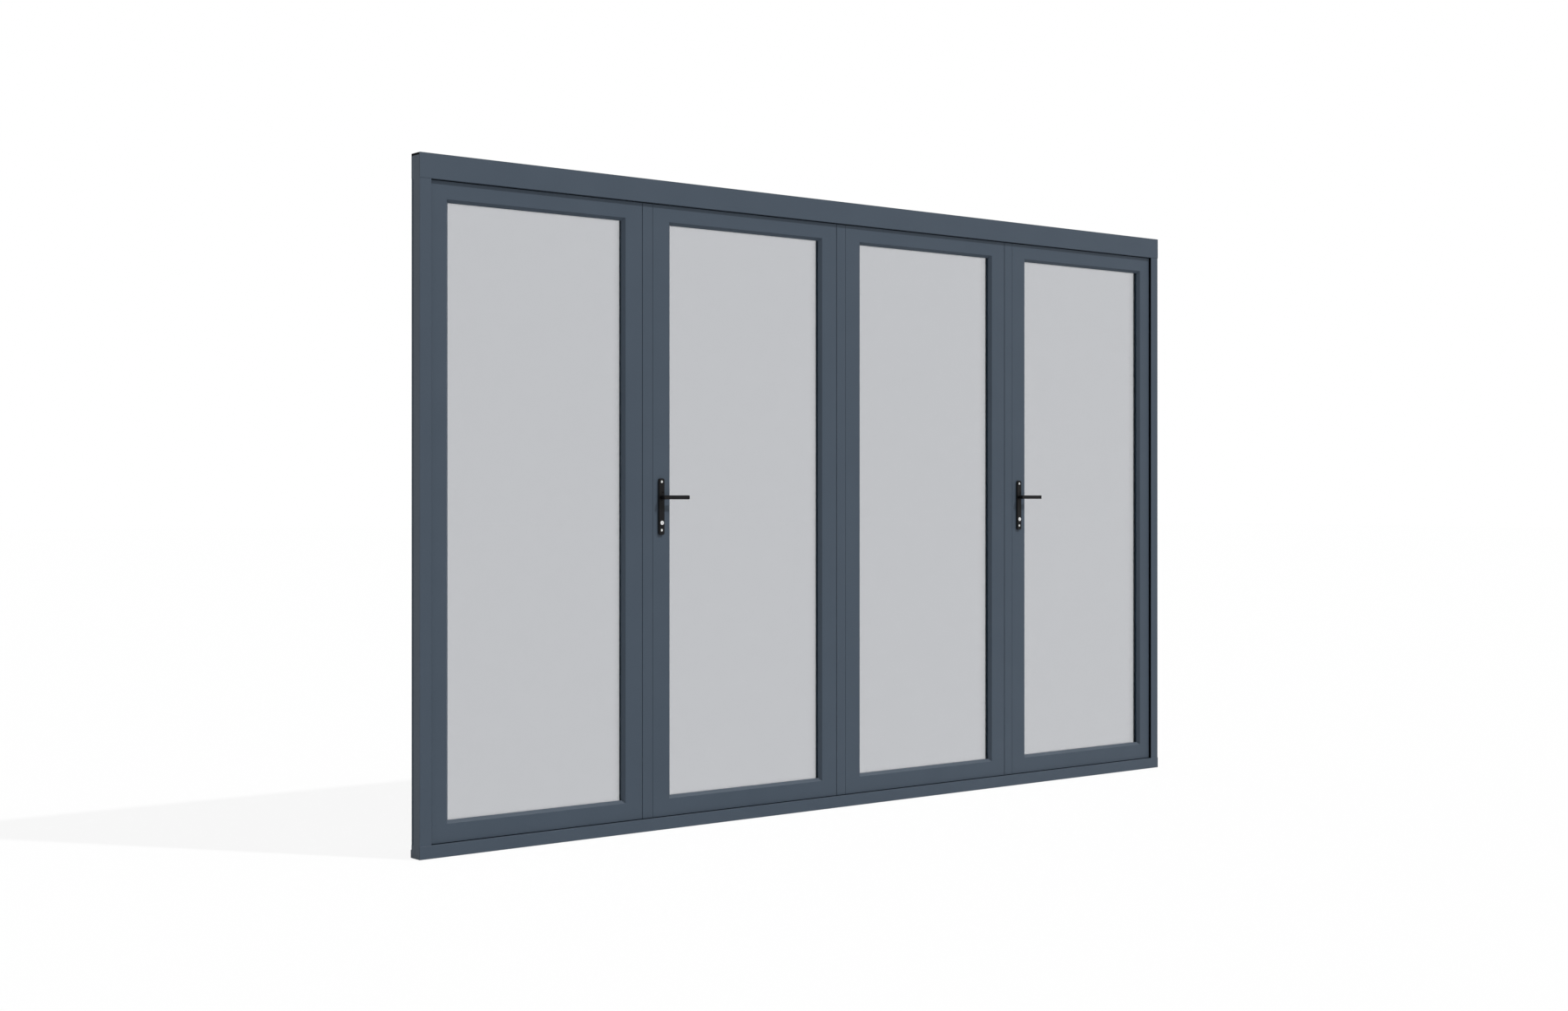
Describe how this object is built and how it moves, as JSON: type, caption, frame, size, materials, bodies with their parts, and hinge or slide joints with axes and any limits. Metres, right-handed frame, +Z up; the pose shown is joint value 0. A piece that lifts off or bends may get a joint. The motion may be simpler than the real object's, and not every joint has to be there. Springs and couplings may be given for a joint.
{
  "type": "bifold glass patio door",
  "caption": "Grey aluminium folding patio door in its frame: tall glazed panels with slim stiles, meeting strips and black lever handles on long plates.",
  "frame": {"origin": "middle of the sill's underside, halfway between the frame's front and back", "axes": "+X to the right seen from the pictured side, +Y away from that side, +Z up"},
  "size_m": [3.29, 0.0966, 2.09],
  "materials": {
    "frame_grey": "matt powder coat, anthracite grey",
    "seal_rubber": "matt black",
    "tinted_glass": "clear float, light grey tint",
    "black_handle": "satin black coating",
    "steel": "satin"
  },
  "bodies": {
    "frame": {"head": "frame_grey", "head_seal": "seal_rubber", "left_jamb": "frame_grey", "right_jamb": "frame_grey", "sill": "frame_grey", "weather_seals": "seal_rubber", "sash_1_left_stile": "frame_grey", "sash_1_right_stile": "frame_grey", "sash_1_top_rail": "frame_grey", "sash_1_bottom_rail": "frame_grey", "sash_2_left_stile": "frame_grey", "sash_2_right_stile": "frame_grey", "sash_2_top_rail": "frame_grey", "sash_2_bottom_rail": "frame_grey", "sash_3_left_stile": "frame_grey", "sash_3_right_stile": "frame_grey", "sash_3_top_rail": "frame_grey", "sash_3_bottom_rail": "frame_grey", "sash_4_left_stile": "frame_grey", "sash_4_right_stile": "frame_grey", "sash_4_top_rail": "frame_grey", "sash_4_bottom_rail": "frame_grey", "meeting_strip_1": "frame_grey", "meeting_strip_2": "frame_grey", "meeting_strip_3": "frame_grey", "glass_1": "tinted_glass", "glass_2": "tinted_glass", "glass_3": "tinted_glass", "glass_4": "tinted_glass", "beads_1": "frame_grey", "beads_2": "frame_grey", "beads_3": "frame_grey", "beads_4": "frame_grey", "handle_2_plates": "black_handle", "handle_2_lock_cylinder": "steel", "handle_4_plates": "black_handle", "handle_4_lock_cylinder": "steel", "jamb_hinges": "frame_grey", "middle_hinges": "frame_grey"},
    "handle_2_lever": {"handle_2_front_lever": "black_handle", "handle_2_back_lever": "black_handle", "handle_2_spindle": "steel"},
    "handle_4_lever": {"handle_4_front_lever": "black_handle", "handle_4_back_lever": "black_handle", "handle_4_spindle": "steel"}
  },
  "joints": [
    {"name": "handle_2_turn", "type": "hinge", "parent": "frame", "child": "handle_2_lever", "pos_m": [-0.76562, 0.004, 1.07], "axis": [0, 1, 0], "range_deg": [-45, 45], "stiffness_Nm_per_rad": 2, "springref_deg": -2.86},
    {"name": "handle_4_turn", "type": "hinge", "parent": "frame", "child": "handle_4_lever", "pos_m": [0.87013, 0.004, 1.07], "axis": [0, 1, 0], "range_deg": [-45, 45], "stiffness_Nm_per_rad": 2, "springref_deg": -2.86}
  ]
}
